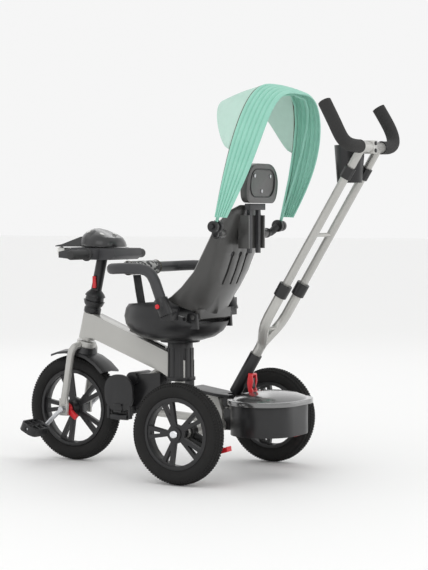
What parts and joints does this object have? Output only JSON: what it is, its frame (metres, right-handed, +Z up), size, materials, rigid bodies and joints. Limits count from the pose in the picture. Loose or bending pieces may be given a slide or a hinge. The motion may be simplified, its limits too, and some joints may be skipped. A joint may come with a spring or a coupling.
{
  "type": "children's push tricycle",
  "caption": "Pedal tricycle for a small child, with a swivelling bucket seat, safety bar, folding canopy, rear storage box and a parent's push handle.",
  "frame": {"origin": "on the floor, under the middle of the bounding box", "axes": "+X to the rider's left along the wheel axles, +Y to the rear, +Z up; the tricycle faces -Y"},
  "size_m": [0.5328, 1.0432, 0.9916],
  "materials": {
    "silver": "satin silver lacquer",
    "steel": "zinc plated",
    "chrome": "bright",
    "black": "moulded, fine grain",
    "gloss_black": "moulded, polished",
    "grey": "moulded",
    "tyre": "fine block tread",
    "foam": "foam",
    "grip": "soft grip",
    "red": "moulded",
    "mint_cloth": "woven polyester, sewn",
    "charcoal_cloth": "woven, quilted",
    "clear": "frosted"
  },
  "bodies": {
    "frame": {"frame_main": "silver", "rear_axle": "steel", "deck_cover": "black", "handle_socket": "black", "handle_yoke": "silver", "handle_collar_left": "black", "handle_collar_right": "black", "storage_tub": "black", "seat_post": "black", "hub_cap_left": "chrome", "hub_cap_right": "chrome", "footrest_bracket": "black"},
    "steering": {"fork": "silver", "mudguard": "black", "headset_ball": "black"},
    "front_wheel": {"front_tyre": "tyre", "front_rim": "black"},
    "crank": {"crank": "steel", "clutch_knob": "red"},
    "pedal_left": {"pedal_left": "black"},
    "pedal_right": {"pedal_right": "black"},
    "handlebar": {"stem": "black", "handlebar": "black", "grip_left": "grip", "grip_right": "grip", "console_tray": "grey", "console_dial": "gloss_black", "headlight": "clear"},
    "stem_lever": {"stem_lever": "red"},
    "rear_wheel_left": {"rear_tyre_left": "tyre", "rear_rim_left": "black"},
    "rear_wheel_right": {"rear_tyre_right": "tyre", "rear_rim_right": "black"},
    "seat": {"seat_pan": "black", "seat_pad": "charcoal_cloth"},
    "bar_button_left": {"bar_button_left": "red"},
    "bar_button_right": {"bar_button_right": "red"},
    "back": {"seat_back": "black", "back_pad": "charcoal_cloth", "canopy_bracket_left": "black", "canopy_bracket_right": "black"},
    "headrest": {"headrest": "black", "headrest_rails": "grey"},
    "canopy": {"canopy_frame": "black", "canopy_fabric": "mint_cloth", "canopy_visor": "mint_cloth"},
    "safety_bar": {"safety_bar": "grey", "bar_sleeve": "charcoal_cloth", "crotch_strap": "charcoal_cloth"},
    "push_handle": {"handle_tubes": "silver", "handle_grip_left": "foam", "handle_grip_right": "foam", "cup_holder": "black"},
    "release_lever": {"release_lever": "red"},
    "brake_left": {"brake_pedal_left": "red"},
    "brake_right": {"brake_pedal_right": "red"},
    "storage_lid": {"storage_lid": "gloss_black"},
    "footrest_left": {"footrest_left": "black"},
    "footrest_right": {"footrest_right": "black"}
  },
  "joints": [
    {"name": "steer", "type": "hinge", "parent": "frame", "child": "steering", "pos_m": [0, -0.3321, 0.366], "axis": [0, 0.225, 0.9744], "range_deg": [-20, 20]},
    {"name": "front_wheel_spin", "type": "hinge", "parent": "steering", "child": "front_wheel", "pos_m": [0, -0.3791, 0.1425], "axis": [1, 0, 0], "continuous": true},
    {"name": "crank_spin", "type": "hinge", "parent": "steering", "child": "crank", "pos_m": [0, -0.3791, 0.1425], "axis": [1, 0, 0], "continuous": true},
    {"name": "pedal_left_spin", "type": "hinge", "parent": "crank", "child": "pedal_left", "pos_m": [0.1, -0.42577, 0.09583], "axis": [1, 0, 0], "continuous": true},
    {"name": "pedal_right_spin", "type": "hinge", "parent": "crank", "child": "pedal_right", "pos_m": [-0.1, -0.33243, 0.18917], "axis": [1, 0, 0], "continuous": true},
    {"name": "handlebar_tilt", "type": "hinge", "parent": "steering", "child": "handlebar", "pos_m": [0, -0.31545, 0.4381], "axis": [1, 0, 0], "range_deg": [0, 18]},
    {"name": "stem_lever_press", "type": "slide", "parent": "handlebar", "child": "stem_lever", "axis": [-1, 0, 0], "range_m": [0, 0.002], "stiffness_N_per_m": 500},
    {"name": "rear_left_spin", "type": "hinge", "parent": "frame", "child": "rear_wheel_left", "pos_m": [0, 0.0999, 0.127], "axis": [1, 0, 0], "continuous": true},
    {"name": "rear_right_spin", "type": "hinge", "parent": "frame", "child": "rear_wheel_right", "pos_m": [0, 0.0999, 0.127], "axis": [1, 0, 0], "continuous": true},
    {"name": "seat_swivel", "type": "hinge", "parent": "frame", "child": "seat", "pos_m": [0, -0.0431, 0.333], "axis": [0, 0, 1], "range_deg": [-75, 75]},
    {"name": "bar_button_left_press", "type": "slide", "parent": "seat", "child": "bar_button_left", "axis": [-1, 0, 0], "range_m": [0, 0.003], "stiffness_N_per_m": 500},
    {"name": "bar_button_right_press", "type": "slide", "parent": "seat", "child": "bar_button_right", "axis": [1, 0, 0], "range_m": [0, 0.003], "stiffness_N_per_m": 500},
    {"name": "back_recline", "type": "hinge", "parent": "seat", "child": "back", "pos_m": [0, 0.0499, 0.404], "axis": [1, 0, 0], "range_deg": [-4, 6]},
    {"name": "headrest_slide", "type": "slide", "parent": "back", "child": "headrest", "axis": [0, 0, 1], "range_m": [-0.01, 0.045]},
    {"name": "canopy_fold", "type": "hinge", "parent": "back", "child": "canopy", "pos_m": [0, 0.1619, 0.636], "axis": [1, 0, 0], "range_deg": [-6, 50]},
    {"name": "safety_bar_lift", "type": "slide", "parent": "seat", "child": "safety_bar", "axis": [0, -0.3746, 0.9272], "range_m": [0, 0.025]},
    {"name": "handle_slide", "type": "slide", "parent": "frame", "child": "push_handle", "axis": [0, 0.524, 0.8517], "range_m": [-0.04, 0.015]},
    {"name": "release_lever_pull", "type": "hinge", "parent": "frame", "child": "release_lever", "pos_m": [0, 0.1719, 0.24], "axis": [1, 0, 0], "range_deg": [-8, 0], "stiffness_Nm_per_rad": 1},
    {"name": "brake_left_press", "type": "hinge", "parent": "frame", "child": "brake_left", "pos_m": [0.189, 0.0999, 0.127], "axis": [1, 0, 0], "range_deg": [-14, 0]},
    {"name": "brake_right_press", "type": "hinge", "parent": "frame", "child": "brake_right", "pos_m": [-0.189, 0.0999, 0.127], "axis": [1, 0, 0], "range_deg": [-14, 0]},
    {"name": "storage_lid_open", "type": "hinge", "parent": "frame", "child": "storage_lid", "pos_m": [0, 0.3189, 0.188], "axis": [1, 0, 0], "range_deg": [-65, 0]},
    {"name": "footrest_left_fold", "type": "hinge", "parent": "frame", "child": "footrest_left", "pos_m": [0.066, -0.1901, 0.134], "axis": [0, 1, 0], "range_deg": [0, 88]},
    {"name": "footrest_right_fold", "type": "hinge", "parent": "frame", "child": "footrest_right", "pos_m": [-0.066, -0.1901, 0.134], "axis": [0, -1, 0], "range_deg": [0, 88]}
  ],
  "couplings": [
    {"joint": "crank_spin", "follows": "front_wheel_spin", "ratio": 1}
  ]
}
